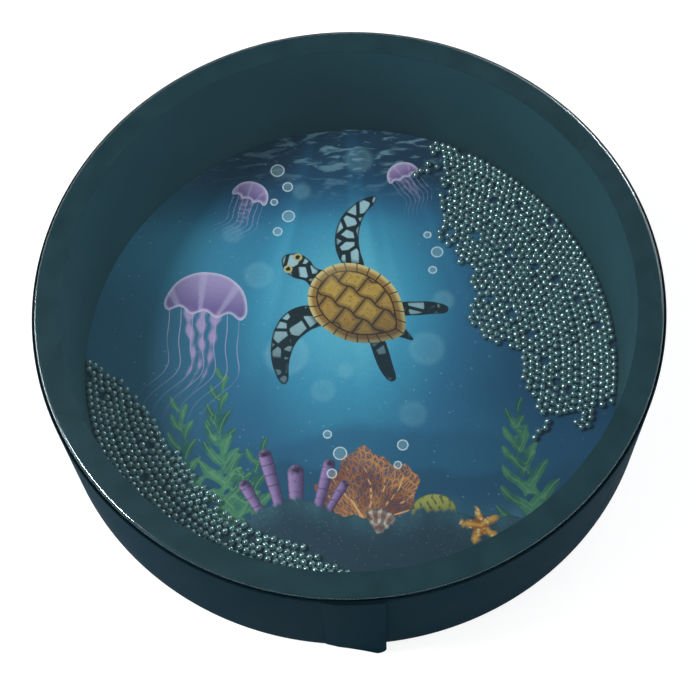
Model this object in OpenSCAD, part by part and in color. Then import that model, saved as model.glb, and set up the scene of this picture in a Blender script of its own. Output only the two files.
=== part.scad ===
// Ocean drum: a round, closed frame drum with a clear upper head, a printed lower head
// and loose steel shot that rolls between them.
// +Z is up and the drum rests on its lower head. The origin is the centre of the lower face.

/* [Drum] */
// Outside diameter, over the wrap
drum_d = 254; // [200:1:400]
// Height over both heads
drum_h = 63.5; // [45:0.5:100]
// Thickness of the whole wall, from the wrap's face to the lining's face
wall_t = 11.5; // [9:0.5:16]
// Radius of the shell's outer edges, which the heads fold over
edge_r = 1; // [0.5:0.1:2.4]

/* [Heads] */
// Thickness of each head's film
film_t = 0.25; // [0.2:0.05:0.4]
// Thickness of the glue that bonds a head to the shell
glue_t = 0.2; // [0.1:0.05:0.3]
// Depth of each film's hem, from the head's face down the wall
hem_h = 7; // [5:0.5:12]

/* [Wrap and lining] */
// Thickness of the wrap around the shell
wrap_t = 0.8; // [0.5:0.1:1.2]
// Gap between the wrap's edge and the round of the head's fold
wrap_inset = 0.2; // [0.1:0.1:1]
// Bevel on the wrap's upper and lower edges
wrap_bevel = 0.25; // [0.1:0.05:0.4]
// Length of the wrap's lap, measured along the wall
lap_w = 24; // [12:1:40]
// How far the lower corner of the lap has lifted off the wall
lap_lift = 3.2; // [0.5:0.1:4]
// Radius of the lap's lower corner
lap_corner_r = 3.7; // [1:0.1:6]
// Thickness of the lining inside the shell
lining_t = 0.5; // [0.3:0.1:1]
// Glue line between curved faces that are bonded together
glue_line = 0.1; // [0.05:0.01:0.15]
// Width of the slit where the two ends of a bent ply meet
scarf_gap = 0.15; // [0.1:0.05:0.4]

/* [Shot] */
// Diameter of a steel ball
ball_d = 3; // [2.4:0.1:4]
// Gap left between one ball and the next
ball_gap = 0.1; // [0.08:0.01:0.3]
// Gap between the balls and the lining
wall_gap = 0.35; // [0.3:0.05:1]
// Gap under the balls, over the lower head
seat_gap = 0.1; // [0.05:0.05:0.3]
// Least gap between a loose ball and a drift
loose_gap = 0.3; // [0.2:0.05:1]

/* [Hidden] */
// Directions are in degrees from +X, and -Y is the side nearest the player
lap_dir = -86;
scarf_slope = 76;
ply_scarf_dirs = [20, 140, 260];

drum_r = drum_d / 2;
inner_r = drum_r - wall_t;
hem_r = drum_r - wrap_t - glue_line;
shell_r = hem_r - film_t - glue_t;
fold_r = edge_r + glue_t + film_t;
shell_z = film_t + glue_t;
shell_h = drum_h - 2 * shell_z;
ply_r = inner_r + lining_t + glue_line;
ply_t = (shell_r - ply_r - 2 * glue_line) / 3;
wrap_z = fold_r + wrap_inset;
overrun = drum_h / 10;

// The shot lies one ball deep, in rows that follow the wall
pitch = ball_d + ball_gap;
track_r = inner_r - wall_gap - ball_d / 2;
ball_z = film_t + seat_gap + ball_d / 2;
least_row_share = 0.46;
void_spacing = 37;

// The fronts of the two drifts, from the wall round to the wall, as shares of the inner radius
right_front_shares = [
    [0.37, 1.05], [0.36, 0.90], [0.33, 0.86], [0.37, 0.84], [0.40, 0.81], [0.41, 0.78],
    [0.37, 0.75], [0.37, 0.73], [0.40, 0.70], [0.36, 0.62], [0.38, 0.55], [0.34, 0.48],
    [0.42, 0.43], [0.43, 0.37], [0.48, 0.34], [0.44, 0.28], [0.48, 0.23], [0.45, 0.13],
    [0.48, 0.06], [0.53, 0.01], [0.58, 0.03], [0.63, -0.02], [0.62, -0.12], [0.67, -0.20],
    [0.68, -0.27], [0.74, -0.31], [0.78, -0.25], [0.83, -0.34], [0.88, -0.32], [0.91, -0.23],
    [1.05, -0.22], [1.20, 0.50], [0.70, 1.05]
];
left_front_shares = [
    [-1.05, 0.02], [-0.97, 0.03], [-0.91, -0.03], [-0.85, -0.05], [-0.80, -0.14],
    [-0.73, -0.22], [-0.70, -0.31], [-0.62, -0.38], [-0.58, -0.47], [-0.50, -0.53],
    [-0.45, -0.62], [-0.38, -0.64], [-0.31, -0.70], [-0.20, -0.72], [-0.13, -0.79],
    [-0.05, -0.83], [0.02, -0.90], [0.03, -1.05], [-1.05, -1.05]
];
// Directions that part each drift into wedges
right_wedge_dirs = [-25, -8, 6, 19, 32, 46, 75];
left_wedge_dirs = [177, 200, 215, 229, 244, 275];
// Loose balls by the ends of the right drift: the place of the first, as a share of the inner
// radius, and the steps to each from there, in pitches
loose_at_share = [0.308, 0.788];
loose_steps = [[0, 0], [1.2, 1.1], [2.5, 0.5], [1.05, -0.1], [-0.8, -0.75]];
tail_at_share = [0.702, -0.326];
tail_steps = [[0, 0], [0.4, 0.95], [-0.95, -0.45], [-1.6, -1.35]];

round_fn = 96;
edge_steps = 8;
ball_fn = 24;

function toward(a) = [cos(a), sin(a)];

// True where a point lies inside a closed outline
function inside(outline, p) = len([
    for (i = [0:len(outline) - 1])
        let (a = outline[i], b = outline[(i + 1) % len(outline)])
        if ((a[1] > p[1]) != (b[1] > p[1])
            && p[0] < a[0] + (b[0] - a[0]) * (p[1] - a[1]) / (b[1] - a[1])) 1
]) % 2 == 1;

// Radius of the row that nests inside one of radius r, where half is half a ball's angle
function nested_r(r, half) = r * cos(half) - sqrt(pow(pitch, 2) - pow(r * sin(half), 2));

// Rows from the wall inwards, each [radius, balls in a full turn, turn of its first ball].
// Three rows share one count and nest, and the next three start a whole pitch further in
function rows_from(r, band) = r < least_row_share * inner_r ? [] :
    let (
        count = floor(180 / asin(pitch / 2 / (r - 2 * pitch * sin(60)))),
        half = 180 / count,
        second_r = nested_r(r, half),
        third_r = nested_r(second_r, half),
        turn = half * (band % 3)
    )
    concat([[r, count, turn], [second_r, count, turn + half], [third_r, count, turn]],
        rows_from(third_r - pitch, band + 1));

rows = rows_from(track_r, 0);
loose_places = [for (s = loose_steps) inner_r * loose_at_share + pitch * s];
tail_places = [for (s = tail_steps) inner_r * tail_at_share + pitch * s];

// True where a ball at p clears all the loose balls
function clear_of_loose(p) = len([
    for (q = concat(loose_places, tail_places)) if (norm(p - q) < ball_d + loose_gap) 1
]) == 0;

// Balls of one wedge of a drift, with a void here and there
function wedge_places(front_shares, from_dir, to_dir) =
    let (outline = inner_r * front_shares)
    [
        for (j = [0:len(rows) - 1])
            let (r = rows[j][0], step = 360 / rows[j][1], turn = rows[j][2])
            for (i = [ceil((from_dir - turn) / step):ceil((to_dir - turn) / step) - 1])
                let (p = r * toward(turn + i * step))
                if ((5 * i + 11 * j) % void_spacing != 0 && inside(outline, p)
                    && clear_of_loose(p)) p
    ];

// Region under a head's face, with the round that the head folds over
module folded_block(r, h, round_r) {
    translate([0, -h]) square([r - round_r, h]);
    translate([0, -h]) square([r, h - round_r]);
    translate([r - round_r, -round_r]) circle(r = round_r, $fn = round_fn);
}

module ring(r, t, z, h) {
    rotate_extrude($fn = round_fn) translate([r, z]) square([t, h]);
}

// Slit through a bent ply, sloping from its inner face to its outer face
module scarf_slit(r, dir) {
    rotate(dir) translate([r + ply_t / 2, 0, drum_h / 2]) rotate(scarf_slope)
        cube([2 * ply_t / cos(scarf_slope), scarf_gap, drum_h + 2 * overrun], center = true);
}

module plain_ply(place) {
    r = ply_r + place * (ply_t + glue_line);
    difference() {
        ring(r, ply_t, shell_z, shell_h);
        scarf_slit(r, ply_scarf_dirs[place]);
    }
}

module shell_inner_ply() { color([0.45, 0.36, 0.27]) plain_ply(0); }

module shell_core_ply() { color([0.52, 0.42, 0.31]) plain_ply(1); }

// Points of a quarter round in a profile, from direction a on
function quarter(centre, r, a) = [
    for (i = [0:edge_steps]) centre + r * toward(a + 90 * i / edge_steps)
];

// The outer ply has the round edges
module shell_outer_ply() {
    r = shell_r - ply_t;
    round_at = shell_r - edge_r;
    color([0.45, 0.36, 0.27])
    difference() {
        rotate_extrude($fn = round_fn) polygon(concat(
            [[r, shell_z]], quarter([round_at, shell_z + edge_r], edge_r, -90),
            quarter([round_at, shell_z + shell_h - edge_r], edge_r, 0), [[r, shell_z + shell_h]]
        ));
        scarf_slit(r, ply_scarf_dirs[2]);
    }
}

module inner_lining() { color([0.14, 0.24, 0.28]) ring(inner_r, lining_t, shell_z, shell_h); }

// The wrap runs from fold to fold, over both hems, and lies flat on the shell between them
module outer_wrap() {
    top = drum_h - wrap_z;
    over_hem = hem_r + glue_line;
    on_shell = shell_r + glue_line;
    low_step = hem_h + glue_line;
    high_step = drum_h - hem_h - glue_line;
    color([0.10, 0.15, 0.19]) rotate_extrude($fn = round_fn) polygon([
        [over_hem, wrap_z], [drum_r - wrap_bevel, wrap_z], [drum_r, wrap_z + wrap_bevel],
        [drum_r, top - wrap_bevel], [drum_r - wrap_bevel, top], [over_hem, top],
        [over_hem, high_step], [on_shell, high_step], [on_shell, low_step], [over_hem, low_step]
    ]);
}

// The free end of the wrap, glued over its start; its rounded lower corner curls off the wall
module wrap_lap() {
    columns = 12;
    levels = 8;
    root_share = 1 / 4;
    height = drum_h - 2 * wrap_z;
    function cut_back(rise) = lap_corner_r
        - sqrt(pow(lap_corner_r, 2) - pow(lap_corner_r - min(rise, lap_corner_r), 2));
    function lift(u, v) = lap_lift * pow(u, 2) * pow(1 - v, 3);
    function place(u, v, depth) = let (
        a = lap_dir - (lap_w * (1 - u) + cut_back(height * v) * u) / drum_r * 180 / PI,
        r = drum_r + glue_line + lift(u, v) + depth
    ) [r * cos(a), r * sin(a), wrap_z + height * v];
    function skin(u) = wrap_t * (1 / 10 + 9 / 10 * min(1, u / root_share));
    stride = 2 * (levels + 1);
    points = [
        for (i = [0:columns], side = [0, 1], j = [0:levels])
            let (u = i / columns) place(u, pow(j / levels, 2), side * skin(u))
    ];
    function at(i, side, j) = i * stride + side * (levels + 1) + j;
    faces = concat(
        [for (i = [0:columns - 1], j = [0:levels - 1]) each [
            [at(i, 1, j), at(i, 1, j + 1), at(i + 1, 1, j + 1)],
            [at(i, 1, j), at(i + 1, 1, j + 1), at(i + 1, 1, j)],
            [at(i, 0, j), at(i + 1, 0, j + 1), at(i, 0, j + 1)],
            [at(i, 0, j), at(i + 1, 0, j), at(i + 1, 0, j + 1)]
        ]],
        [for (i = [0:columns - 1]) each [
            [at(i, 0, 0), at(i, 1, 0), at(i + 1, 1, 0)], [at(i, 0, 0), at(i + 1, 1, 0), at(i + 1, 0, 0)],
            [at(i, 0, levels), at(i + 1, 1, levels), at(i, 1, levels)],
            [at(i, 0, levels), at(i + 1, 0, levels), at(i + 1, 1, levels)]
        ]],
        [for (j = [0:levels - 1]) each [
            [at(0, 0, j), at(0, 1, j + 1), at(0, 1, j)], [at(0, 0, j), at(0, 0, j + 1), at(0, 1, j + 1)],
            [at(columns, 0, j), at(columns, 1, j), at(columns, 1, j + 1)],
            [at(columns, 0, j), at(columns, 1, j + 1), at(columns, 0, j + 1)]
        ]]
    );
    color([0.10, 0.15, 0.19]) polyhedron(points, faces);
}

// A film with its hem folded down over the shell's round edge
module head() {
    rotate_extrude($fn = round_fn) difference() {
        folded_block(hem_r, hem_h, fold_r);
        translate([0, -film_t]) folded_block(hem_r - film_t, hem_h, fold_r - film_t);
    }
}

module clear_head() { color([0.75, 0.88, 0.92, 0.25]) translate([0, 0, drum_h]) head(); }

module printed_head() { color([0.16, 0.45, 0.65]) mirror([0, 0, 1]) head(); }

// Glue on a bearing edge, between the shell's end and the film
module upper_glue_ring() {
    color([0.17, 0.29, 0.33])
    ring(inner_r, shell_r - edge_r - inner_r, drum_h - shell_z, glue_t);
}

module lower_glue_ring() {
    color([0.17, 0.29, 0.33]) ring(inner_r, shell_r - edge_r - inner_r, film_t, glue_t);
}

module shot(places) {
    color([0.52, 0.58, 0.58])
    for (p = places) translate([p[0], p[1], ball_z]) sphere(d = ball_d, $fn = ball_fn);
}

module right_shot(k) {
    shot(wedge_places(right_front_shares, right_wedge_dirs[k - 1], right_wedge_dirs[k]));
}

module left_shot(k) {
    shot(wedge_places(left_front_shares, left_wedge_dirs[k - 1], left_wedge_dirs[k]));
}

module loose_shot() { shot(loose_places); }

module tail_shot() { shot(tail_places); }

shell_inner_ply();
shell_core_ply();
shell_outer_ply();
inner_lining();
outer_wrap();
wrap_lap();
clear_head();
printed_head();
upper_glue_ring();
lower_glue_ring();
for (k = [1:len(right_wedge_dirs) - 1])
    right_shot(k);
for (k = [1:len(left_wedge_dirs) - 1])
    left_shot(k);
loose_shot();
tail_shot();
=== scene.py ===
import math

import bmesh
import bpy
import numpy as np
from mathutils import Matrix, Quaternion, Vector


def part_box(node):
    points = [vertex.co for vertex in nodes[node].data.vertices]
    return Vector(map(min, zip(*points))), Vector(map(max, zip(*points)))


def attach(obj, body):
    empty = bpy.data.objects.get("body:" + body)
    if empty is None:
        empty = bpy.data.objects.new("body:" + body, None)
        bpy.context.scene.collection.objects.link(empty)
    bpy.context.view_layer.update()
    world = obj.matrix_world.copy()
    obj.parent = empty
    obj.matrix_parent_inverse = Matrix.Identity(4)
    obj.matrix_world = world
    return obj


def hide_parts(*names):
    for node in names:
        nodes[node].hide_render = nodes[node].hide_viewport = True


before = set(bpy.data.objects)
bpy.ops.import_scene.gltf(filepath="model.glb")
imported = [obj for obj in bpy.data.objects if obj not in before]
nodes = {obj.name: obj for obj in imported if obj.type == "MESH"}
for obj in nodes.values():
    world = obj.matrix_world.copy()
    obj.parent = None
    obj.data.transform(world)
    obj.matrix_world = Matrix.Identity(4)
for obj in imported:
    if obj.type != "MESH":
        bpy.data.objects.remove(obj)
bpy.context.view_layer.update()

# The view
# The drum lies on a pale table and is seen from the player's side, from well above it and from
# two thirds of a metre away, with the camera leaning a little to one side.
drum_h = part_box("clear_head")[1].z
view_distance = 0.6923
view_elevation = math.radians(64.82)
view_lean = math.radians(-2.54)

view_data = bpy.data.cameras.new("photo_view")
view_data.sensor_width = 36
view_data.lens = 85.4
view_data.shift_y = -0.0227
view = bpy.data.objects.new("photo_view", view_data)
bpy.context.scene.collection.objects.link(view)
bpy.context.scene.camera = view
from_drum = Vector((0, -math.cos(view_elevation), math.sin(view_elevation)))
view.location = Vector((0, 0, drum_h / 2)) + view_distance * from_drum
view.rotation_mode = "QUATERNION"
view.rotation_quaternion = from_drum.to_track_quat("Z", "Y") @ Quaternion((0, 0, 1), view_lean)
bpy.context.scene.view_settings.view_transform = "Standard"

# The table and the studio
# A wide pale table with a pale sweep rising round it, under soft lamps. Both show as near white,
# and the drum's shadow stays on the table.
table_reach = 4.0
sweep_bend = 1.5
sweep_h = 1.8
sweep_glow = 0.75


def finish(name, colour, roughness):
    """A material of one shader, a call that adds a step to it, and a call that feeds its shader."""
    material = bpy.data.materials.new(name)
    material.use_nodes = True
    tree = material.node_tree
    shader = tree.nodes["Principled BSDF"]
    shader.inputs["Base Color"].default_value = (*colour, 1)
    shader.inputs["Roughness"].default_value = roughness

    def add(kind, wires=None, **choices):
        step = tree.nodes.new("ShaderNode" + kind)
        for choice, value in choices.items():
            setattr(step, choice, value)
        for place, value in (wires or {}).items():
            if isinstance(value, bpy.types.NodeSocket):
                tree.links.new(value, step.inputs[place])
            else:
                step.inputs[place].default_value = value
        return step.outputs

    def feed(place, value):
        if isinstance(value, bpy.types.NodeSocket):
            tree.links.new(value, shader.inputs[place])
        else:
            shader.inputs[place].default_value = value

    return material, add, feed


def made(name, points, faces, material, crease=math.radians(40)):
    """A mesh object, shaded smooth but for its creases."""
    mesh = bpy.data.meshes.new(name)
    mesh.from_pydata([tuple(p) for p in points], [], [tuple(f) for f in faces])
    mesh.materials.append(material)
    mesh.shade_smooth()
    mesh.set_sharp_from_angle(angle=crease)
    thing = bpy.data.objects.new(name, mesh)
    bpy.context.scene.collection.objects.link(thing)
    return thing


def turned(name, profile, count, material, closed=True):
    """A profile of (radius, height) points turned round the drum's axis."""
    edge = len(profile)
    last = edge if closed else edge - 1
    points = [
        (r * math.cos(a), r * math.sin(a), z)
        for a in np.linspace(0, 2 * math.pi, count, endpoint=False)
        for r, z in profile
    ]
    faces = []
    for i in range(count):
        here, there = i * edge, (i + 1) % count * edge
        for j in range(last):
            faces.append((here + j, there + j, there + (j + 1) % edge, here + (j + 1) % edge))
    return made(name, points, faces, material)


def bow(centre, radius, start, end, steps):
    """Points of an arc in a profile, from one direction to another in degrees."""
    return [
        (centre[0] + radius * math.cos(a), centre[1] + radius * math.sin(a))
        for a in np.radians(np.linspace(start, end, steps + 1))
    ]


table_finish, add, feed = finish("pale_table", (0.5, 0.5, 0.5), 0.9)
rays = add("LightPath")
seen = add("Math", {0: rays["Is Camera Ray"], 1: rays["Is Glossy Ray"]}, operation="MAXIMUM")[0]
seen = add("Math", {0: seen, 1: rays["Is Transmission Ray"]}, operation="MAXIMUM")[0]
feed("Emission Strength", add("Math", {0: seen, 1: sweep_glow}, operation="MULTIPLY")[0])
feed("Emission Color", (1, 1, 1, 1))
sweep = bow((table_reach, sweep_bend), sweep_bend, -90, 0, 12)
sweep = [(0.001, 0), *sweep, (table_reach + sweep_bend, sweep_h)]
turned("table_and_sweep", sweep, 96, table_finish, closed=False)

studio_air = bpy.data.worlds.new("studio_air")
bpy.context.scene.world = studio_air
studio_air.use_nodes = True
air = studio_air.node_tree.nodes["Background"]
air.inputs["Color"].default_value = (0.7, 0.92, 1, 1)
air.inputs["Strength"].default_value = 0.15


def lamp(name, place, width, height, power, lights=True, mirrored=True):
    """A soft oval lamp that shines at the drum. It lights it, is mirrored in it, or does both."""
    data = bpy.data.lights.new(name, "AREA")
    data.shape = "ELLIPSE"
    data.size = width
    data.size_y = height
    data.energy = power
    thing = bpy.data.objects.new(name, data)
    thing.location = place
    thing.rotation_mode = "QUATERNION"
    thing.rotation_quaternion = Vector(place).to_track_quat("Z", "Y")
    thing.visible_diffuse = lights
    thing.visible_glossy = mirrored
    bpy.context.scene.collection.objects.link(thing)


lamp("key_lamp", (-0.715, 0.025, 1.145), 0.34, 0.34, 12)
lamp("left_strip", (-1.6, 0.28, 0.4), 1.1, 0.25, 9, lights=False)
lamp("right_strip", (1.03, 1.22, 0.4), 0.6, 0.35, 13, lights=False)
lamp("right_lamp", (1.0, 1.15, 0.75), 1.5, 1.5, 6.5)
lamp("near_fill", (1.11, -0.52, 1.03), 1.2, 1.2, 11, mirrored=False)
lamp("low_fill", (-1.36, -0.42, 0.34), 0.8, 0.5, 8, mirrored=False)

# The bent shell
# Three plies of wood fibre board, each bent to a hoop and closed by a sloping scarf joint, glued
# one inside the other. The outer ply's edges are rounded so that the heads can fold over them.
fibre, add, feed = finish("wood_fibre", (0.36, 0.27, 0.19), 0.8)
place = add("TexCoord")["Object"]
layers = add("Mapping", {0: place, "Scale": (60, 60, 1500)})[0]
strands = add("TexNoise", {"Vector": layers, "Scale": 1.0, "Detail": 5.0, "Roughness": 0.6})[0]
clouds = add("TexNoise", {"Vector": place, "Scale": 35.0, "Detail": 3.0})[0]
tone = add("Mix", {0: 0.4, 2: strands, 3: clouds})[0]
tone = add("MapRange", {0: tone, 1: 0.35, 2: 0.65})[0]
wood = add("Mix", {0: tone, 6: (0.2, 0.13, 0.08, 1), 7: (0.5, 0.38, 0.26, 1)}, data_type="RGBA")[2]
feed("Base Color", wood)
feed("Normal", add("Bump", {"Strength": 0.4, "Distance": 0.0002, "Height": strands})[0])
for ply in ("shell_inner_ply", "shell_core_ply", "shell_outer_ply"):
    nodes[ply].data.materials.clear()
    nodes[ply].data.materials.append(fibre)

# The inner lining
# A dark teal paper, glued to the inside of the shell from head to head. It is smooth and satin,
# with a fine tooth, and shows through the clear head as the drum's inner wall.
lining_t = 0.0005
lining_soft = 0.0001
lining_low, lining_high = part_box("inner_lining")
lining_r = lining_high.x

lining, add, feed = finish("dark_lining", (0.015, 0.07, 0.09), 0.5)
feed("Specular IOR Level", 0.2)
place = add("TexCoord")["Object"]
tooth = add("TexNoise", {"Vector": place, "Scale": 2600.0, "Detail": 2.0})[0]
drift = add("TexNoise", {"Vector": place, "Scale": 22.0, "Detail": 3.0, "Roughness": 0.6})[0]
tone = add("MapRange", {0: drift, 1: 0.3, 2: 0.7})[0]
teal = add("Mix", {0: tone, 6: (0.016, 0.07, 0.088, 1), 7: (0.023, 0.092, 0.114, 1)}, data_type="RGBA")[2]
feed("Base Color", teal)
feed("Roughness", add("MapRange", {0: drift, 1: 0.3, 2: 0.7, 3: 0.42, 4: 0.58})[0])
feed("Normal", add("Bump", {"Strength": 0.15, "Distance": 0.00005, "Height": tooth})[0])


def lipped(inner, outer, low, high, soft):
    """A profile with its four corners broken by a small bevel."""
    return [
        (inner + soft, low), (outer - soft, low), (outer, low + soft), (outer, high - soft),
        (outer - soft, high), (inner + soft, high), (inner, high - soft), (inner, low + soft),
    ]


lining_profile = lipped(lining_r - lining_t, lining_r, lining_low.z, lining_high.z, lining_soft)
lining_sheet = turned("lining_sheet", lining_profile, 288, lining)
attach(lining_sheet, "drum")
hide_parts("inner_lining")

# The printed head
# A polyester film stretched over the shell's lower edge and folded up round it, with its hem glued
# to the wall. The drum rests on it, and its print shows on both faces.
film_t = 0.00025
fold_r = 0.00145
hem_h = 0.007
print_step = 0.0014
drum_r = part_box("outer_wrap")[1].x
head_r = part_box("printed_head")[1].x
flat_r = head_r - fold_r


def film_sheet(name, rings, level, into, material):
    """A film over an edge: its flat disc, its fold and its hem, as a closed skin of both faces."""
    fold_steps, hem_steps = 10, 3
    points, sheets = [], []
    for depth in (0, film_t):
        rows = [(0, level + into * depth, 1)]
        rows += [(flat_r * k / rings, level + into * depth, 6 * k) for k in range(1, rings + 1)]
        for a in np.linspace(0, math.pi / 2, fold_steps + 1)[1:]:
            r = flat_r + (fold_r - depth) * math.sin(a)
            rows.append((r, level + into * (fold_r - (fold_r - depth) * math.cos(a)), 6 * rings))
        for h in np.linspace(fold_r, hem_h, hem_steps + 1)[1:]:
            rows.append((head_r - depth, level + into * h, 6 * rings))
        starts = []
        for r, z, count in rows:
            starts.append(len(points))
            turns = 2 * math.pi * np.arange(count) / count
            points += [(r * math.cos(a), r * math.sin(a), z) for a in turns]
        sheets.append(starts)
    faces = []
    for starts in sheets:
        for k in range(1, rings + 1):
            inner, outer, few, many = starts[k - 1], starts[k], max(6 * (k - 1), 1), 6 * k
            for sixth in range(6):
                for j in range(k):
                    a = inner + (sixth * (k - 1) + j) % few
                    b = outer + sixth * k + j
                    c = outer + (sixth * k + j + 1) % many
                    faces.append((a, b, c))
                    if j < k - 1:
                        faces.append((a, c, inner + (sixth * (k - 1) + j + 1) % few))
        for here, there in zip(starts[rings:-1], starts[rings + 1:]):
            faces += ring_of_quads(here, there, 6 * rings)
    faces += ring_of_quads(sheets[0][-1], sheets[1][-1], 6 * rings)
    sheet = made(name, points, faces, material)
    face_out(sheet)
    return sheet


def ring_of_quads(here, there, count):
    """Faces between two rings of points."""
    return [(here + i, here + (i + 1) % count, there + (i + 1) % count, there + i) for i in range(count)]


def face_out(piece):
    """Turns all the faces of a closed skin outwards."""
    skin = bmesh.new()
    skin.from_mesh(piece.data)
    bmesh.ops.recalc_face_normals(skin, faces=skin.faces)
    skin.to_mesh(piece.data)
    skin.free()


printed, add, feed = finish("printed_film", (0.05, 0.25, 0.42), 0.4)
feed("Specular IOR Level", 0.3)
printed_sheet = film_sheet("printed_sheet", round(flat_r / print_step), 0, 1, printed)
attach(printed_sheet, "drum")
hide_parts("printed_head")

# The print on the lower head
# A sunlit reef: a turtle, three jellyfish, kelp, sponges, a sea fan, a sea star and a scallop.
# Places are shares of the drum's radius, and each motif keeps its own outline on the film.
spots = np.array([v.co[:2] for v in printed_sheet.data.vertices]) / drum_r
across, away = spots.T


def laid(name, values):
    """Lays a field of numbers, places or colours on the printed sheet's points."""
    values = np.asarray(values, np.float32)
    kind = "FLOAT" if values.ndim == 1 else "FLOAT_VECTOR"
    field = printed_sheet.data.attributes.new(name, kind, "POINT")
    field.data.foreach_set("value" if values.ndim == 1 else "vector", values.ravel())


def drawn(corners, steps=6):
    """A smooth closed outline through its corners."""
    corners = np.array(corners, float)
    before, after, next_on = (np.roll(corners, k, axis=0) for k in (1, -1, -2))
    outline = []
    for t in np.linspace(0, 1, steps, endpoint=False):
        outline.append(0.5 * (
            2 * corners + (after - before) * t
            + (2 * before - 5 * corners + 4 * after - next_on) * t**2
            + (3 * corners - before - 3 * after + next_on) * t**3
        ))
    return np.stack(outline, axis=1).reshape(-1, 2)


def both_sides(corners):
    """Corners of an outline that is the same to the left and to the right."""
    return [*corners, *[(u, -v) for u, v in reversed(corners) if v]]


def edge_of(at, outline):
    """Distance from each place to a closed outline, below zero inside it."""
    nearest = np.full(len(at), np.inf)
    inside = np.zeros(len(at), bool)
    for a, b in zip(outline, np.roll(outline, -1, axis=0)):
        along, rise = b - a, (b[1] - a[1]) or 1.0
        share = np.clip((at - a) @ along / (along @ along), 0, 1)
        nearest = np.minimum(nearest, np.hypot(*(at - a - share[:, None] * along).T))
        crosses = (a[1] > at[:, 1]) != (b[1] > at[:, 1])
        inside ^= crosses & (at[:, 0] < a[0] + along[0] * (at[:, 1] - a[1]) / rise)
    return np.where(inside, -nearest, nearest)


def seen_from(centre, heading, size):
    """All places, forward and to the left of a motif, in its own size."""
    off = (spots - centre) / size
    a = math.radians(heading)
    forward = off @ (math.cos(a), math.sin(a))
    left = off @ (-math.sin(a), math.cos(a))
    return np.stack([forward, left], axis=1)


def soft(value, low, high):
    """A smooth rise from 0 at low to 1 at high."""
    t = np.clip((value - low) / (high - low), 0, 1)
    return t * t * (3 - 2 * t)


def waver(value, wave, shift):
    """A wavering line of three waves, between -1 and 1."""
    return (
        np.sin(wave * value + shift) + 0.5 * np.sin(2.3 * wave * value + 1.7 * shift)
        + 0.25 * np.sin(5.1 * wave * value + 2.9 * shift)
    ) / 1.75


def over(under, colour, share):
    """Paint over what lies under it, by a share for each place."""
    return under + (np.asarray(colour) - under) * share[:, None]


# Water, from deep navy to sunlit cyan, with rays from the surface
shaft = np.exp(-((across + 0.02) / 0.46) ** 2)
light = 0.1 + 0.85 * shaft * (0.45 + 0.55 * np.exp(-((away - 0.2) / 0.42) ** 2))
# Painted light: the water is inked lighter on the left and upper left, where the wall's shadow falls on
# the head.
light += 0.22 * soft(-across, 0.3, 0.7) * soft(away, -0.7, 0.1)
light += 0.28 * soft(-across, 0.2, 0.6) * soft(away, 0.1, 0.5)
light -= 0.48 * soft(away, 0.48, 0.76)
light += 0.2 * soft(across, 0.1, 0.5) * soft(-away, 0.1, 0.45)
sun = np.array([0.02, 1.35])
fan_turn = np.arctan2(across - sun[0], sun[1] - away)
ray = soft(waver(fan_turn, 19, 0.4), 0.0, 0.9) * soft(away, -0.5, 0.7)
light += 0.13 * ray * np.exp(-(fan_turn / 0.55) ** 2)
light_steps = [0, 0.25, 0.5, 0.75, 1]
water_inks = [
    (0.01, 0.043, 0.092), (0.015, 0.095, 0.2), (0.03, 0.18, 0.33), (0.06, 0.36, 0.56), (0.16, 0.62, 0.8)
]
water = np.stack([np.interp(light, light_steps, ink) for ink in np.transpose(water_inks)], axis=1)
# Painted shade: the left side of the water is greyed towards teal, the colour the print takes in the
# wall's shadow under the clear head.
water = over(water, (0.05, 0.14, 0.15), 0.35 * soft(-across, 0.3, 0.75))

# Out-of-focus bubbles
for x, y, r, share in [
    (-0.22, 0.02, 0.075, 0.22), (-0.31, 0.33, 0.05, 0.18), (-0.1, -0.12, 0.04, 0.16),
    (0.26, 0.02, 0.06, 0.16), (0.33, 0.2, 0.035, 0.2), (-0.4, 0.5, 0.035, 0.14),
    (0.06, 0.78, 0.05, 0.16), (0.2, -0.22, 0.045, 0.13), (-0.15, 0.66, 0.03, 0.18),
    (-0.02, -0.05, 0.025, 0.2),
]:
    disc = np.hypot(across - x, away - y) - r
    edge_glow = 0.8 + 0.4 * soft(disc, -0.03, 0)
    water = over(water, (0.4, 0.78, 0.86), share * soft(disc, 0.012, -0.012) * edge_glow)

# Far ridges and the sandy floor
far_line = -0.27 + 0.05 * waver(across, 6, 1.1) + 0.012 * waver(across, 31, 0.3)
near_line = -0.41 + 0.045 * waver(across, 5, 2.6) + 0.014 * waver(across, 27, 1.9)
sand_line = -0.5 + 0.03 * waver(across, 4, 0.5)
water = over(water, (0.017, 0.1, 0.2), 0.5 * soft(far_line - away, -0.01, 0.05))
water = over(water, (0.013, 0.08, 0.16), 0.6 * soft(near_line - away, -0.006, 0.03))
sand = soft(sand_line - away, 0, 0.16)
water = over(water, (0.065, 0.2, 0.27), 0.55 * sand * soft(across, -0.7, 0.1))
laid("water", water)
laid("sand", sand * soft(across, -0.5, 0.1))
near_surface = soft(away + 0.05 * waver(across, 5, 0.9), 0.6, 0.86)
laid("surface", near_surface * np.exp(-((across - 0.05) / 0.5) ** 2))


# Kelp: wavering stalks with leaves set on both sides
def leaves_of(foot, height, lean, shift, gap, length):
    """Feet, headings and lengths of the leaves on one stalk."""
    rows = []
    for k in range(int(height / gap)):
        up = gap * (k + 0.6)
        bend = lean * (up / height) ** 2 + 0.02 * math.sin(9 * up + shift)
        side = 1 if k % 2 else -1
        heading = 90 - side * (48 - 30 * up / height) - 40 * lean
        rows.append(((foot[0] + bend, foot[1] + up), heading, length * (1 - 0.45 * up / height)))
    return rows


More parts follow.
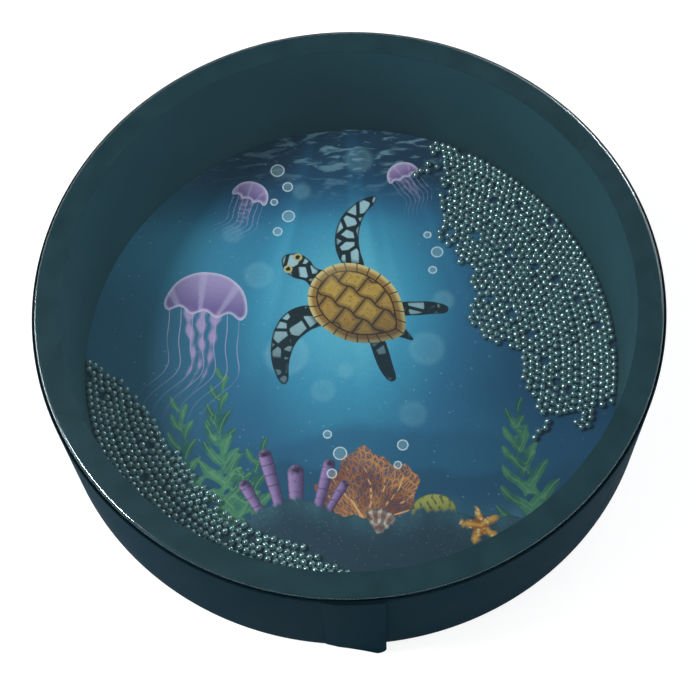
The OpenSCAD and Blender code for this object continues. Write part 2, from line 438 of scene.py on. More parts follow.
kelp_edge = np.full(len(spots), 1.0)
kelp_rib = np.zeros(len(spots))
for foot, height, lean, shift in [
    ((-0.47, -0.6), 0.55, 0.06, 0.3), ((-0.4, -0.62), 0.42, -0.05, 1.9),
    ((-0.34, -0.62), 0.3, 0.05, 3.1), ((0.53, -0.66), 0.46, 0.05, 0.9),
    ((0.6, -0.62), 0.34, -0.03, 2.4), ((-0.55, -0.56), 0.4, -0.06, 4.2),
]:
    up = away - foot[1]
    stalk = across - foot[0] - lean * (up / height) ** 2 - 0.02 * np.sin(9 * up + shift)
    thick = np.where((up > 0) & (up < height), np.abs(stalk) - 0.005, 1.0)
    kelp_rib = np.where(thick < kelp_edge, 1.0, kelp_rib)
    kelp_edge = np.minimum(kelp_edge, thick)
    for at, heading, length in leaves_of(foot, height, lean, shift, 0.036, 0.13):
        leaf = seen_from(at, heading, length)
        curl = leaf[:, 1] - 0.12 * np.sin(2.6 * leaf[:, 0])
        half = 0.14 * np.sin(math.pi * np.clip(leaf[:, 0], 0, 1)) ** 0.7
        outside = length * np.where((leaf[:, 0] > 0) & (leaf[:, 0] < 1), np.abs(curl) - half, 1.0)
        kelp_rib = np.where(outside < kelp_edge, curl / 0.14, kelp_rib)
        kelp_edge = np.minimum(kelp_edge, outside)
laid("kelp_edge", kelp_edge)
laid("kelp_rib", kelp_rib)

# Rocks, sponges, a brain coral, a sea star and a scallop, each with its own ink and its own lines
rock_line = (
    -0.6 + 0.1 * np.exp(-((across + 0.2) / 0.15) ** 2) + 0.05 * np.exp(-((across - 0.24) / 0.1) ** 2)
    + 0.012 * waver(across, 17, 0.8) + 0.006 * waver(across, 60, 2.0)
)
rock_edge = (away - rock_line) * 0.9
reef_edge = np.full(len(spots), 1.0)
reef_ink = np.zeros((len(spots), 3))
reef_line = np.ones(len(spots))


def flat_ink(ink):
    """The same ink for every place."""
    return np.tile(ink, (len(spots), 1))


def grown(edge, ink, lines):
    """Sets a motif of the reef in front of those before it."""
    nearer = (edge < reef_edge) | (edge < 0)
    reef_ink[nearer] = ink[nearer]
    reef_line[nearer] = lines[nearer]
    np.minimum(edge, reef_edge, out=reef_edge)


def pipe(foot, heading, length, width, ink, light_ink):
    """A tube sponge, lit on one side, with a dark mouth."""
    at = seen_from(foot, heading, 1)
    swell = width * (0.85 + 0.3 * soft(at[:, 0], 0, length))
    ends = np.clip(at[:, 0], 0, length)
    edge = np.hypot(at[:, 0] - ends, at[:, 1]) - swell
    tone = over(flat_ink(ink), light_ink, soft(at[:, 1] / swell, -0.9, 0.8))
    mouth = np.hypot((at[:, 0] - length - 0.3 * width) / 0.55, at[:, 1]) - 0.75 * width
    tone = over(tone, (0.03, 0.012, 0.04), soft(mouth, 0.008, -0.004))
    grown(edge, tone, np.sin(at[:, 0] * 170) + 0.9)


for foot, heading, length, width in [
    ((-0.25, -0.55), 104, 0.21, 0.02), ((-0.14, -0.57), 74, 0.19, 0.018),
    ((-0.2, -0.58), 90, 0.17, 0.024), ((-0.3, -0.58), 118, 0.15, 0.017),
    ((-0.11, -0.57), 58, 0.13, 0.014),
]:
    pipe(foot, heading, length, width, (0.1, 0.045, 0.16), (0.48, 0.3, 0.6))

brain = seen_from((0.25, -0.57), 90, 0.075)
brain_edge = 0.075 * (np.hypot(brain[:, 0] / 0.85, brain[:, 1]) - 1)
brain_light = soft(brain[:, 0], -0.9, 0.9)
grown(
    brain_edge,
    over(flat_ink((0.05, 0.075, 0.02)), (0.55, 0.52, 0.12), brain_light),
    np.sin(16 * brain[:, 1] + 3 * np.sin(7 * brain[:, 0])) + 0.5,
)

rock_light = soft(rock_edge, -0.09, 0) * (0.6 + 0.4 * waver(across, 40, 1.3))
rock_ink = over(flat_ink((0.018, 0.055, 0.085)), (0.05, 0.14, 0.19), rock_light)
grown(rock_edge, rock_ink, np.ones(len(spots)))

shell_at = seen_from((0.07, -0.6), 75, 0.052)
shell_turn = np.arctan2(shell_at[:, 1], shell_at[:, 0] + 0.75)
shell_far = np.hypot(shell_at[:, 1], shell_at[:, 0] + 0.75)
shell_lip = shell_far - 1.65 - 0.05 * np.cos(16 * shell_turn)
shell_edge = 0.052 * np.maximum(shell_lip, np.abs(shell_turn) * 0.9 - 0.62)
grown(
    shell_edge,
    over(flat_ink((0.6, 0.3, 0.24)), (0.85, 0.72, 0.6), soft(np.sin(9 * shell_far), -0.5, 0.8)),
    np.sin(16 * shell_turn),
)

star_at = seen_from((0.4, -0.62), 100, 0.075)
star_turn = np.arctan2(star_at[:, 1], star_at[:, 0])
star_far = np.hypot(*star_at.T)
star_arm = np.abs((star_turn * 5 / (2 * math.pi) + 0.5) % 1 - 0.5) * 2
star_reach = 0.36 + 0.64 * (1 - star_arm) ** 2.2
star_edge = 0.075 * (star_far - star_reach) * 0.6
star_light = soft(0.8 - star_arm - 0.2 * star_far, 0, 0.7)
grown(
    star_edge,
    over(flat_ink((0.42, 0.1, 0.02)), (0.95, 0.5, 0.08), star_light),
    np.ones(len(spots)),
)
laid("reef_edge", reef_edge)
laid("reef_ink", reef_ink)
laid("reef_line", reef_line)
laid("star_arm", np.where(star_edge < 0.004, star_arm, 2.0))

# A sea fan, whose net follows its own turn and reach
fan_at = seen_from((0.03, -0.62), 86, 0.27)
fan_turn = np.arctan2(fan_at[:, 1], fan_at[:, 0])
fan_far = np.hypot(*fan_at.T)
fan_reach = 1 - 0.3 * fan_turn**2 + 0.07 * np.sin(8 * fan_turn + 0.6) + 0.03 * np.sin(23 * fan_turn)
laid("fan_edge", 0.27 * np.maximum(fan_far - fan_reach, (np.abs(fan_turn) - 1.1) * fan_far))
laid("fan_place", np.stack([fan_turn * 5.5, 4 * fan_far, np.zeros(len(spots))], axis=1))
fan_fork = 6 * fan_turn + 0.5 * np.sin(5 * fan_far + 2 * fan_turn)
fan_twig = np.abs(np.sin(fan_fork))
fan_twig = np.where(fan_far > 0.5, np.minimum(fan_twig, np.abs(np.cos(fan_fork))), fan_twig)
laid("fan_branch", fan_twig * fan_far / 6 - 0.012 * (1.25 - fan_far))

# Jellyfish: a bell with ribs, three frilled arms and fine trailing threads
bell = drawn(both_sides([
    (1.0, 0), (0.92, 0.42), (0.62, 0.8), (0.12, 0.98), (-0.12, 0.86), (0.02, 0.58), (-0.14, 0.3),
    (0.0, 0),
]))
near_bell = np.full(len(spots), np.inf)
jelly = {name: np.ones(len(spots)) for name in ("bell", "arms", "thread", "rib")}
jelly |= {name: np.zeros(len(spots)) for name in ("fade", "tone")}
for centre, heading, size in [
    ((-0.5, 0.2), 78, 0.15), ((0.22, 0.7), 112, 0.062), ((-0.34, 0.64), 64, 0.07),
]:
    at = seen_from(centre, heading, size)
    sway = 0.16 * np.sin(1.9 * at[:, 0] + 0.6) * np.clip(-at[:, 0], 0, 3) ** 0.7
    away_from = np.hypot(at[:, 0] + 0.8, at[:, 1])
    mine = away_from < near_bell
    near_bell = np.where(mine, away_from, near_bell)
    ends = np.clip(-at[:, 0] / 2.4, 0, 1)
    spread = soft(np.abs(at[:, 1] - 1.3 * sway), 0.92, 0.8)
    arms = np.full(len(spots), 1.0)
    for place in (-0.3, 0.02, 0.33):
        frill = 0.13 * (1 - ends) * (1 + 0.35 * np.sin(13 * at[:, 0] + 9 * place))
        arms = np.minimum(arms, np.abs(at[:, 1] - place * (1 - 0.4 * ends) - sway * (1 + place)) - frill)
    arms = np.where((at[:, 0] < 0.1) & (at[:, 0] > -2.3), arms * size, 1.0)
    fields = {
        "bell": edge_of(at, bell) * size,
        "arms": arms,
        "thread": np.sin((at[:, 1] - 1.3 * sway - 0.05 * np.sin(5 * at[:, 0])) * 11.5),
        "fade": soft(at[:, 0], -3.2, -0.6) * soft(at[:, 0], 0.1, -0.1) * spread,
        "tone": soft(at[:, 0], -0.2, 1.0),
        "rib": np.sin(13 * np.arctan2(at[:, 1], at[:, 0] + 0.9)),
    }
    for name, field in fields.items():
        jelly[name] = np.where(mine, field, jelly[name])
for name, field in jelly.items():
    laid("jelly_" + name, field)

# The turtle: a shell of scutes over spotted skin
turtle_size = 0.185
turtle_heading = 142
turtle = seen_from((0.03, 0.2), turtle_heading, turtle_size)
carapace = drawn(both_sides([
    (0.98, 0), (0.86, 0.4), (0.52, 0.68), (0.05, 0.77), (-0.42, 0.67), (-0.82, 0.37), (-1.06, 0),
]))
left_flipper = drawn([
    (0.52, 0.5), (0.8, 0.6), (0.99, 0.95), (0.93, 1.4), (0.63, 1.85), (0.23, 2.12), (0.12, 2.02),
    (0.34, 1.68), (0.46, 1.3), (0.4, 0.95), (0.28, 0.7),
])
right_flipper = drawn([
    (0.5, -0.5), (0.84, -0.58), (1.14, -0.86), (1.32, -1.26), (1.3, -1.72), (1.1, -2.08), (0.99, -2.02),
    (0.99, -1.62), (0.85, -1.25), (0.62, -0.96), (0.34, -0.7),
])
head = drawn(both_sides([(1.74, 0), (1.68, 0.12), (1.52, 0.23), (1.3, 0.24), (1.08, 0.17), (0.8, 0.22)]))
hind_flipper = [
    (-0.62, 0.45), (-0.8, 0.63), (-1.12, 0.85), (-1.4, 0.94), (-1.47, 0.82), (-1.22, 0.6),
    (-0.98, 0.4), (-0.8, 0.3),
]
other_flipper = [(u, -v) for u, v in hind_flipper]
tail = drawn([(-0.9, 0.12), (-1.1, 0.08), (-1.3, 0), (-1.1, -0.08), (-0.9, -0.12)])
limbs = [left_flipper, right_flipper, head, tail, drawn(hind_flipper), drawn(other_flipper)]
skin = np.min([edge_of(turtle, limb) for limb in limbs], axis=0)
shell = edge_of(turtle, carapace)
laid("skin_edge", skin * turtle_size)
laid("shell_edge", shell * turtle_size)
laid("shell_rim_line", np.sin(12 * np.arctan2(turtle[:, 1] * 1.25, turtle[:, 0])))
scute_row = 0.4
scute_w = 0.42
zigzag = 1 + 0.13 * np.sin(2 * math.pi * (turtle[:, 0] / scute_w + 0.1))
scute_place = [turtle[:, 0] + 0.06, turtle[:, 1] * zigzag + 1.5 * scute_row, np.zeros(len(spots))]
laid("scute_place", np.stack(scute_place, axis=1))
sun_heading = math.radians(100 - turtle_heading)
sunward = turtle @ (math.cos(sun_heading), math.sin(sun_heading))
laid("turtle_light", 0.62 + 0.36 * sunward - 0.1 * turtle[:, 1] ** 2 * (shell < 0))
eyes = np.min([np.hypot(turtle[:, 0] - 1.5, turtle[:, 1] - side * 0.155) for side in (-1, 1)], axis=0)
laid("turtle_eye", eyes)

# Bubbles that rise past the turtle
ring = np.full(len(spots), 1.0)
for x, y, r in [
    (-0.24, 0.5, 0.016), (-0.2, 0.56, 0.022), (-0.25, 0.62, 0.013), (-0.2, 0.68, 0.018),
    (-0.235, 0.75, 0.024), (0.3, 0.32, 0.014), (0.32, 0.39, 0.02), (0.29, 0.46, 0.013),
    (-0.08, -0.42, 0.016), (-0.05, -0.35, 0.022), (-0.09, -0.28, 0.014), (0.14, -0.4, 0.013),
    (0.16, -0.33, 0.018),
]:
    ring = np.minimum(ring, np.hypot(across - x, away - y) - r)
laid("bubble", ring)

# The inks, laid from the back of the picture to the front


def reads(name):
    """A field that was laid on the sheet."""
    field = add("Attribute", attribute_name=name)
    return field["Fac"], field["Vector"]


def rises(value, low, high, least=0.0, most=1.0):
    """A smooth rise of a value between two limits."""
    wires = {0: value, 1: low, 2: high, 3: least, 4: most}
    return add("MapRange", wires, interpolation_type="SMOOTHSTEP")[0]


def times(one, other):
    """One share of another."""
    return add("Math", {0: one, 1: other}, operation="MULTIPLY")[0]


def far_from_zero(value):
    """A value without its sign."""
    return add("Math", {0: value}, operation="ABSOLUTE")[0]


def cell_edges(where, scale, randomness=1.0):
    """How far a place is from the edge of its cell."""
    wires = {"Vector": where, "Scale": scale, "Randomness": randomness}
    return add("TexVoronoi", wires, feature="DISTANCE_TO_EDGE")[0]


def inked(under, colour, share):
    """A colour printed over what lies under it."""
    if not isinstance(colour, bpy.types.NodeSocket):
        colour = (*colour, 1)
    return add("Mix", {0: share, 6: under, 7: colour}, data_type="RGBA")[2]


crisp = 0.0022
place = add("TexCoord")["Object"]
grain = add("TexNoise", {"Vector": place, "Scale": 900.0, "Detail": 3.0})[0]
patches = add("TexNoise", {"Vector": place, "Scale": 45.0, "Detail": 4.0, "Roughness": 0.6})[0]

picture = reads("water")[1]
glints = add("Mapping", {0: place, "Scale": (95, 330, 1)})[0]
glints = add("TexNoise", {"Vector": glints, "Scale": 1.0, "Detail": 3.0, "Distortion": 0.6})[0]
glints = times(rises(glints, 0.5, 0.66, 0, 0.42), reads("surface")[0])
picture = inked(picture, (0.42, 0.74, 0.84), glints)
net = add("TexNoise", {"Vector": place, "Scale": 28.0, "Detail": 1.0})[1]
net = add("Mix", {0: 0.02, 4: place, 5: net}, data_type="VECTOR")[1]
net = add("TexVoronoi", {"Vector": net, "Scale": 85.0}, feature="SMOOTH_F1")[0]
on_sand = reads("sand")[0]
picture = inked(picture, (0.3, 0.62, 0.72), times(rises(net, 0.52, 0.95, 0, 0.5), on_sand))
picture = inked(picture, (0.01, 0.03, 0.05), times(rises(patches, 0.48, 0.62, 0, 0.35), on_sand))
motes = add("TexVoronoi", {"Vector": place, "Scale": 210.0})[0]
picture = inked(picture, (0.5, 0.78, 0.85), rises(motes, 0.13, 0.05, 0, 0.22))

kelp_edge = reads("kelp_edge")[0]
kelp_rib = far_from_zero(reads("kelp_rib")[0])
kelp_ink = inked((0.018, 0.12, 0.075, 1), (0.1, 0.32, 0.14), rises(patches, 0.35, 0.65))
kelp_ink = inked(kelp_ink, (0.2, 0.42, 0.2), rises(kelp_rib, 0.2, 0.05, 0, 0.7))
kelp_ink = inked(kelp_ink, (0.02, 0.1, 0.13), rises(kelp_edge, -0.004, 0.0, 0, 0.5))
picture = inked(picture, kelp_ink, rises(kelp_edge, crisp / 2, -crisp / 2, 0, 0.88))

fan_place = reads("fan_place")[1]
fan_net = rises(cell_edges(fan_place, 2.4, 0.85), 0.11, 0.05)
fan_fine = rises(cell_edges(fan_place, 7.0), 0.1, 0.05, 0, 0.75)
fan_net = add("Math", {0: fan_net, 1: fan_fine}, operation="MAXIMUM")[0]
fan_shape = rises(reads("fan_edge")[0], crisp, -crisp)
picture = inked(picture, (0.12, 0.035, 0.03), times(fan_shape, 0.45))
fan_ink = inked((0.3, 0.075, 0.035, 1), (0.8, 0.32, 0.09), rises(patches, 0.35, 0.62))
picture = inked(picture, fan_ink, times(fan_shape, fan_net))
fan_branch = rises(reads("fan_branch")[0], 0.006, 0.0)
picture = inked(picture, (0.92, 0.5, 0.2), times(fan_shape, fan_branch))

reef_ink = reads("reef_ink")[1]
reef_line = reads("reef_line")[0]
reef_shade = inked(reef_ink, (0.015, 0.02, 0.03), rises(reef_line, 0.35, -0.1, 0, 0.65))
specks = add("TexVoronoi", {"Vector": place, "Scale": 520.0})[0]
reef_shade = inked(reef_shade, (0.25, 0.3, 0.28), rises(specks, 0.25, 0.12, 0, 0.25))
star_arm = reads("star_arm")[0]
star_dots = times(rises(star_arm, 0.75, 0.6), rises(specks, 0.42, 0.3, 0, 0.8))
reef_shade = inked(reef_shade, (1.0, 0.78, 0.42), star_dots)
reef_edge = reads("reef_edge")[0]
reef_shade = inked(reef_shade, (0.02, 0.035, 0.05), rises(reef_edge, -0.006, 0.0, 0, 0.55))
picture = inked(picture, reef_shade, rises(reef_edge, crisp / 2, -crisp / 2))

thread = rises(far_from_zero(reads("jelly_thread")[0]), 0.2, 0.06, 0, 0.6)
picture = inked(picture, (0.6, 0.5, 0.8), times(thread, reads("jelly_fade")[0]))
arms_edge = reads("jelly_arms")[0]
picture = inked(picture, (0.62, 0.42, 0.72), rises(arms_edge, crisp, -0.012, 0, 0.75))
bell_edge = reads("jelly_bell")[0]
jelly_tone = reads("jelly_tone")[0]
bell_ink = inked((0.2, 0.1, 0.34, 1), (0.55, 0.38, 0.68), jelly_tone)
bell_ink = inked(bell_ink, (0.72, 0.58, 0.85), rises(reads("jelly_rib")[0], 0.5, 1.0, 0, 0.5))
bell_ink = inked(bell_ink, (0.86, 0.78, 0.95), rises(bell_edge, -0.014, -0.001, 0, 0.8))
picture = inked(picture, bell_ink, rises(bell_edge, crisp / 2, -crisp / 2, 0, 0.86))

bubble = reads("bubble")[0]
picture = inked(picture, (0.6, 0.88, 0.95), rises(bubble, 0.0015, -0.0005, 0, 0.22))
picture = inked(picture, (0.85, 0.97, 1.0), rises(far_from_zero(bubble), 0.0032, 0.0008, 0, 0.8))

skin_edge = reads("skin_edge")[0]
skin_spots = rises(cell_edges(place, 150.0, 0.8), 0.09, 0.15)
skin_ink = inked((0.008, 0.018, 0.024, 1), (0.46, 0.68, 0.74), skin_spots)
skin_ink = inked(skin_ink, (0.008, 0.018, 0.024), rises(skin_edge, -0.01, -0.003, 0, 0.9))
turtle_light = reads("turtle_light")[0]
skin_ink = inked(skin_ink, (0.006, 0.02, 0.035), rises(turtle_light, 0.75, 0.2, 0, 0.7))
shell_edge = reads("shell_edge")[0]
skin_ink = inked(skin_ink, (0.004, 0.01, 0.015), rises(shell_edge, 0.02, 0.0, 0, 0.7))
eye = reads("turtle_eye")[0]
skin_ink = inked(skin_ink, (0.7, 0.55, 0.2), rises(eye, 0.095, 0.08))
skin_ink = inked(skin_ink, (0.004, 0.004, 0.006), rises(eye, 0.06, 0.045))
picture = inked(picture, skin_ink, rises(skin_edge, crisp / 2, -crisp / 2))

scute_wires = {
    "Vector": reads("scute_place")[1], "Scale": 1.0, "Brick Width": scute_w, "Row Height": scute_row,
    "Color1": (0.66, 0.4, 0.07, 1), "Color2": (0.5, 0.24, 0.045, 1), "Mortar": (0.05, 0.03, 0.015, 1),
}


def scute_bricks(seam, softness):
    """The scutes' colours, and how near a place is to their seams."""
    wires = {**scute_wires, "Mortar Size": seam, "Mortar Smooth": softness}
    return add("TexBrick", wires, offset=0.5, offset_frequency=2)


scutes = scute_bricks(0.014, 0.3)
bands = scute_bricks(0.13, 1.0)[1]
scute_ink = inked(scutes[0], (0.2, 0.085, 0.02), rises(bands, 0.1, 0.9, 0, 0.75))
growth = add("Math", {0: times(bands, 26.0)}, operation="SINE")[0]
scute_ink = inked(scute_ink, (0.85, 0.62, 0.2), rises(growth, 0.2, 1.0, 0, 0.28))
scute_ink = inked(scute_ink, (0.04, 0.025, 0.015), rises(scutes[1], 0.1, 0.6))
freckles = add("TexVoronoi", {"Vector": place, "Scale": 620.0})[0]
scute_ink = inked(scute_ink, (0.09, 0.035, 0.012), rises(freckles, 0.3, 0.16, 0, 0.6))
rim = rises(shell_edge, -0.034, -0.03)
rim_ink = inked((0.42, 0.2, 0.04, 1), (0.85, 0.66, 0.26), rises(shell_edge, -0.02, -0.004))
rim_line = far_from_zero(reads("shell_rim_line")[0])
rim_ink = inked(rim_ink, (0.04, 0.025, 0.015), rises(rim_line, 0.22, 0.1))
shell_ink = inked(scute_ink, rim_ink, rim)
rim_seam = far_from_zero(add("Math", {0: shell_edge, 1: 0.032})[0])
shell_ink = inked(shell_ink, (0.04, 0.025, 0.015), rises(rim_seam, 0.0035, 0.0018))
shell_ink = inked(shell_ink, (0.02, 0.02, 0.03), rises(turtle_light, 0.7, 0.15, 0, 0.75))
shell_ink = inked(shell_ink, (1.0, 0.86, 0.5), rises(turtle_light, 0.75, 1.05, 0, 0.3))
picture = inked(picture, shell_ink, rises(shell_edge, crisp / 2, -crisp / 2))

picture = inked(picture, (0.01, 0.03, 0.045), rises(grain, 0.3, 0.7, 0, 0.08))
feed("Base Color", picture)
feed("Roughness", rises(grain, 0.3, 0.7, 0.36, 0.46))
feed("Normal", add("Bump", {"Strength": 0.05, "Distance": 0.00005, "Height": grain})[0])

# The lower glue ring
# A bead of dark glue between the shell's lower edge and the printed head.
glue, add, feed = finish("dark_glue", (0.006, 0.035, 0.047), 0.45)
feed("Specular IOR Level", 0.12)
place = add("TexCoord")["Object"]
flow = add("TexNoise", {"Vector": place, "Scale": 120.0, "Detail": 4.0})[0]
tone = add("MapRange", {0: flow, 1: 0.35, 2: 0.65})[0]
feed("Base Color", inked((0.005, 0.029, 0.038, 1), (0.008, 0.038, 0.05), tone))
feed("Roughness", add("MapRange", {0: flow, 1: 0.35, 2: 0.65, 3: 0.38, 4: 0.55})[0])
feed("Normal", add("Bump", {"Strength": 0.2, "Distance": 0.0001, "Height": flow})[0])
nodes["lower_glue_ring"].data.materials.clear()
nodes["lower_glue_ring"].data.materials.append(glue)

# The shot
# Over a thousand steel balls, 3 mm across and one deep, loose on the printed head. They are ground
# but not mirror bright, and have rolled into two drifts against the wall, with a gap here and there.
ball_r = 0.0015
ball_touch = 0.00304
apart_from_others = 0.0033
jostle = 0.0007
push_reach = 0.0045
creep = 0.00001
wall_gap = 0.00025
settle_rounds = 160
ball_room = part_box("inner_lining")[1].x - lining_t - ball_r - wall_gap
drifts = {
    "right_drift": [n for n in sorted(nodes) if n.startswith("right_shot")],
    "left_drift": [n for n in sorted(nodes) if n.startswith("left_shot")],
    "loose_balls": ["loose_shot"],
    "tail_balls": ["tail_shot"],
}


def tops(node):
    """The places of a node's balls, from the topmost point of each."""
    corners = np.array([v.co for v in nodes[node].data.vertices])
    crown = corners[corners[:, 2] > corners[:, 2].max() - 1e-6, :2]
    return np.unique(crown.round(5), axis=0)


ball_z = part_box("loose_shot")[0].z + ball_r
groups = [(body, node, tops(node)) for body, members in drifts.items() for node in members]
balls = np.concatenate([places for _, _, places in groups])
body_order = list(drifts)
bodies = np.concatenate([[body_order.index(body)] * len(places) for body, _, places in groups])
dice = np.random.default_rng(7)
home = balls.copy()
still = bodies >= 2
balls = balls + np.where(still[:, None], 0, dice.uniform(-jostle, jostle, balls.shape))
for turn in range(settle_rounds):
    if turn % 20 == 0:
        gap = np.hypot(*(balls[:, None] - balls[None]).transpose(2, 0, 1))
        one, other = np.nonzero(np.triu(gap < push_reach, 1))
        least = np.where(bodies[one] == bodies[other], ball_touch, apart_from_others)
    step = balls[one] - balls[other]
    length = np.hypot(*step.T)
    push = (np.maximum(least - length, 0) / 2 / np.maximum(length, 1e-6))[:, None] * step
    np.add.at(balls, one, push)
    np.add.at(balls, other, -push)
    out = np.hypot(*balls.T)
    balls *= np.minimum(1, ball_room / out)[:, None]
    if turn < settle_rounds / 2:
        balls += creep * balls / np.hypot(*balls.T)[:, None] * (~still)[:, None]
    balls[still] = home[still]

steel, add, feed = finish("polished_steel", (0.37, 0.53, 0.54), 0.26)
place = add("TexCoord")["Object"]
smear = add("TexNoise", {"Vector": place, "Scale": 420.0, "Detail": 3.0})[0]
tone = add("Attribute", attribute_name="ball_tone")["Fac"]
tone = add("Mix", {0: 0.35, 2: tone, 3: smear})[0]
feed("Base Color", inked((0.36, 0.54, 0.55, 1), (0.5, 0.7, 0.71), tone))
feed("Metallic", 0.87)
feed("Roughness", add("MapRange", {0: smear, 1: 0.3, 2: 0.7, 3: 0.22, 4: 0.3})[0])
ball_skin = bmesh.new()
bmesh.ops.create_icosphere(ball_skin, subdivisions=3, radius=ball_r)
ball_points = np.array([v.co for v in ball_skin.verts])
ball_faces = np.array([[v.index for v in f.verts] for f in ball_skin.faces])
ball_skin.free()
first = 0
for body, node, places in groups:
    points, faces, tones = [], [], []
    for x, y in balls[first:first + len(places)]:
        faces.append(ball_faces + len(points) * len(ball_points))
        points.append(ball_points + (x, y, ball_z))
        tones += [dice.uniform()] * len(ball_points)
    first += len(places)
    heap = made("balls_of_" + node, np.concatenate(points), np.concatenate(faces).tolist(), steel)
    field = heap.data.attributes.new("ball_tone", "FLOAT", "POINT")
    field.data.foreach_set("value", np.array(tones, np.float32))
    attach(heap, body)
    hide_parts(node)

# The upper glue
# Dark glue on the shell's upper edge, drawn over its round and down to the hem. It shows through
# the clear head as the rim's flat band.
glue_t = 0.0002
glue_low, glue_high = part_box("upper_glue_ring")
shell_r = head_r - film_t - glue_t
edge_r = fold_r - film_t - glue_t
rim_top = glue_high.z
round_at = (shell_r - edge_r, rim_top - glue_t - edge_r)
skin_gap = 0.00001
glue_profile = [
    (lining_r - lining_t, glue_low.z), (lining_r - lining_t, rim_top - skin_gap),
    *reversed(bow(round_at, edge_r + glue_t - skin_gap, 0, 90, 8)),
    (shell_r + glue_t - skin_gap, drum_h - hem_h), (shell_r + skin_gap, drum_h - hem_h),
    *bow(round_at, edge_r + skin_gap, 0, 90, 8),
]
glue_bed = turned("upper_glue_bed", glue_profile, 288, glue)
face_out(glue_bed)
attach(glue_bed, "drum")
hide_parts("upper_glue_ring")

# The clear head
# A clear polyester film, folded over the shell's upper edge and hemmed like the lower one. Its
# gloss is all that shows: a soft haze on the flat and a bright line along the fold, where it is
# drawn tight. Lower down the fold it has rubbed dull.
flat_gloss = 0.042
fold_gloss = 0.093
slant_gloss = 0.2
rubbed_share = 0.12
clear, add, feed = finish("clear_film", (0.84, 0.96, 1.0), 0.12)
place = add("TexCoord")["Object"]
waves = add("TexNoise", {"Vector": place, "Scale": 14.0, "Detail": 2.0})[0]
smears = add("TexNoise", {"Vector": place, "Scale": 60.0, "Detail": 5.0, "Roughness": 0.65})[0]
swell = add("Bump", {"Strength": 0.06, "Distance": 0.0006, "Height": waves})[0]
feed("Normal", swell)
feed("Metallic", 1.0)
feed("Roughness", add("MapRange", {0: smears, 1: 0.4, 2: 0.7, 3: 0.1, 4: 0.15})[0])
slant = add("LayerWeight", {"Blend": 0.5, "Normal": swell})["Facing"]
slant = add("Math", {0: slant, 1: 5.0}, operation="POWER")[0]
height = add("SeparateXYZ", {0: place})[2]
stretched = rises(height, drum_h - 0.2 * fold_r, drum_h - 0.05 * fold_r, fold_gloss, flat_gloss)
gloss = add("MapRange", {0: slant, 3: stretched, 4: slant_gloss})[0]
rubbed = rises(height, drum_h - 0.42 * fold_r, drum_h - 0.33 * fold_r, rubbed_share, 1)
gloss = times(gloss, rubbed)
tree = clear.node_tree
see_through = add("BsdfTransparent", {"Color": (0.96, 0.985, 0.99, 1)})[0]
film = add("MixShader", {0: gloss, 1: see_through, 2: tree.nodes["Principled BSDF"].outputs[0]})[0]
tree.links.new(film, tree.nodes["Material Output"].inputs["Surface"])
clear_sheet = film_sheet("clear_sheet", 48, drum_h, -1, clear)
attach(clear_sheet, "drum")
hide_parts("clear_head")

# The wrap
# A near-black navy sheet wound round the shell from fold to fold, over both hems. Its top and
# bottom edges are cut square and stand a little proud of the films.
wrap_t = 0.0008
wrap_soft = 0.00025
wrap_low, wrap_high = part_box("outer_wrap")
wrap_profile = lipped(drum_r - wrap_t, drum_r, wrap_low.z, wrap_high.z, wrap_soft)
wrap, add, feed = finish("navy_wrap", (0.01, 0.04, 0.06), 0.65)
feed("Specular IOR Level", 0.008)
place = add("TexCoord")["Object"]
pebble = add("TexVoronoi", {"Vector": place, "Scale": 1300.0}, feature="SMOOTH_F1")[0]
scuffs = add("TexNoise", {"Vector": place, "Scale": 38.0, "Detail": 6.0, "Roughness": 0.7})[0]
tone = add("MapRange", {0: scuffs, 1: 0.4, 2: 0.7})[0]
navy = inked((0.004, 0.023, 0.037, 1), (0.007, 0.033, 0.051), tone)
wrap_middle = (wrap_low.z + wrap_high.z) / 2
height = add("SeparateXYZ", {0: place})[2]
from_middle = far_from_zero(add("Math", {0: height, 1: -wrap_middle})[0])
# Painted shade: the navy darkens over the last 0.6 mm towards the wrap's top and bottom edges, standing
# in for the shadow line where the wrap meets the folds.
edge_shade = rises(from_middle, wrap_high.z - wrap_middle - 0.0006, wrap_high.z - wrap_middle - 0.0001)
feed("Base Color", inked(navy, (0.004, 0.012, 0.018), edge_shade))
feed("Roughness", add("MapRange", {0: scuffs, 1: 0.35, 2: 0.7, 3: 0.58, 4: 0.75})[0])
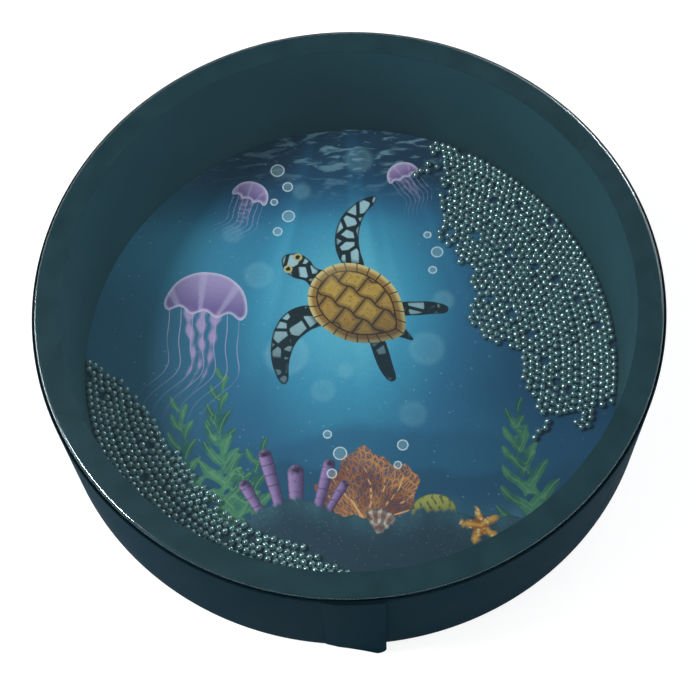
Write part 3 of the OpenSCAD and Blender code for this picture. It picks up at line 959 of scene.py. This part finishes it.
feed("Normal", add("Bump", {"Strength": 0.12, "Distance": 0.00006, "Height": pebble})[0])
wrap_sheet = turned("wrap_sheet", wrap_profile, 288, wrap)
face_out(wrap_sheet)
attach(wrap_sheet, "drum")
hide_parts("outer_wrap")

# The wrap's lap
# The free end of the wrap, glued over its start. Its lower corner has lifted and curls off the
# wall, which shows as a small step in the drum's lower outline.
lap_end = math.radians(-86)
lap_w = 0.024
lap_lift = 0.0032
lap_corner_r = 0.0037
lap_glue = 0.0001
lap_low, lap_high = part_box("wrap_lap")
lap_columns, lap_rows = 48, 32
lap_points = []
for i in range(lap_columns + 1):
    u = i / lap_columns
    thick = wrap_t * (0.1 + 0.9 * min(1, 4 * u))
    for depth in (0, thick):
        for j in range(lap_rows + 1):
            v = (j / lap_rows) ** 2
            rise = (lap_high.z - lap_low.z) * v
            short = lap_corner_r - min(rise, lap_corner_r)
            cut_back = lap_corner_r - math.sqrt(lap_corner_r**2 - short**2)
            a = lap_end - (lap_w * (1 - u) + cut_back * u) / drum_r
            r = drum_r + lap_glue + lap_lift * u**2 * (1 - v) ** 3 + depth
            lap_points.append((r * math.cos(a), r * math.sin(a), lap_low.z + rise))
stride = 2 * (lap_rows + 1)


def lap_at(i, side, j):
    """The number of a point of the lap, by its column, its face and its row."""
    return i * stride + side * (lap_rows + 1) + j


lap_faces = []
for i in range(lap_columns):
    for j in range(lap_rows):
        for side in (0, 1):
            here, there = lap_at(i, side, j), lap_at(i + 1, side, j)
            lap_faces.append((here, here + 1, there + 1, there))
    for j in (0, lap_rows):
        lap_faces.append((lap_at(i, 0, j), lap_at(i, 1, j), lap_at(i + 1, 1, j), lap_at(i + 1, 0, j)))
for j in range(lap_rows):
    for i in (0, lap_columns):
        lap_faces.append((lap_at(i, 0, j), lap_at(i, 1, j), lap_at(i, 1, j + 1), lap_at(i, 0, j + 1)))
lap = made("wrap_end", lap_points, lap_faces, wrap)
face_out(lap)
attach(lap, "drum")
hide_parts("wrap_lap")
